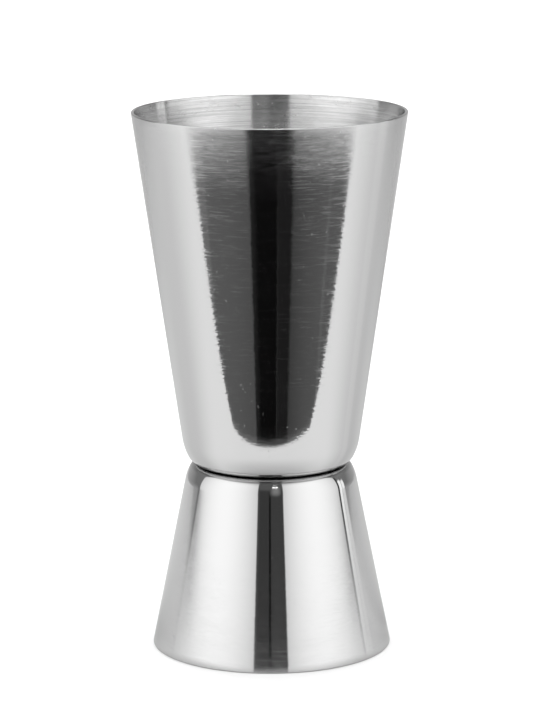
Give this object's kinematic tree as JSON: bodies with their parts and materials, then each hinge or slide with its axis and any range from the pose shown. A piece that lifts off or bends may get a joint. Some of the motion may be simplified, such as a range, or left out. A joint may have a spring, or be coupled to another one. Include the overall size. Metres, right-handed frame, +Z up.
{
  "type": "cocktail jigger",
  "caption": "Double-ended spirit measure: a tall tapered steel cup welded floor to floor to a shorter tapered cup, standing on the short cup's rim.",
  "frame": {"origin": "centre of the small cup's rim plane, on the common axis: the point the jigger stands over", "axes": "+Z up along the common axis of both cups, from the small cup's rim to the large cup's rim; the first spot weld lies towards +Y"},
  "size_m": [0.043, 0.043, 0.085],
  "materials": {
    "large_cup_steel": "fine circumferential satin over a polish",
    "small_cup_steel": "polished",
    "weld_steel": "fused, matt"
  },
  "bodies": {
    "root": {"large_cup": "large_cup_steel", "small_cup": "small_cup_steel", "spot_weld_1": "weld_steel", "spot_weld_2": "weld_steel", "spot_weld_3": "weld_steel"}
  },
  "joints": []
}
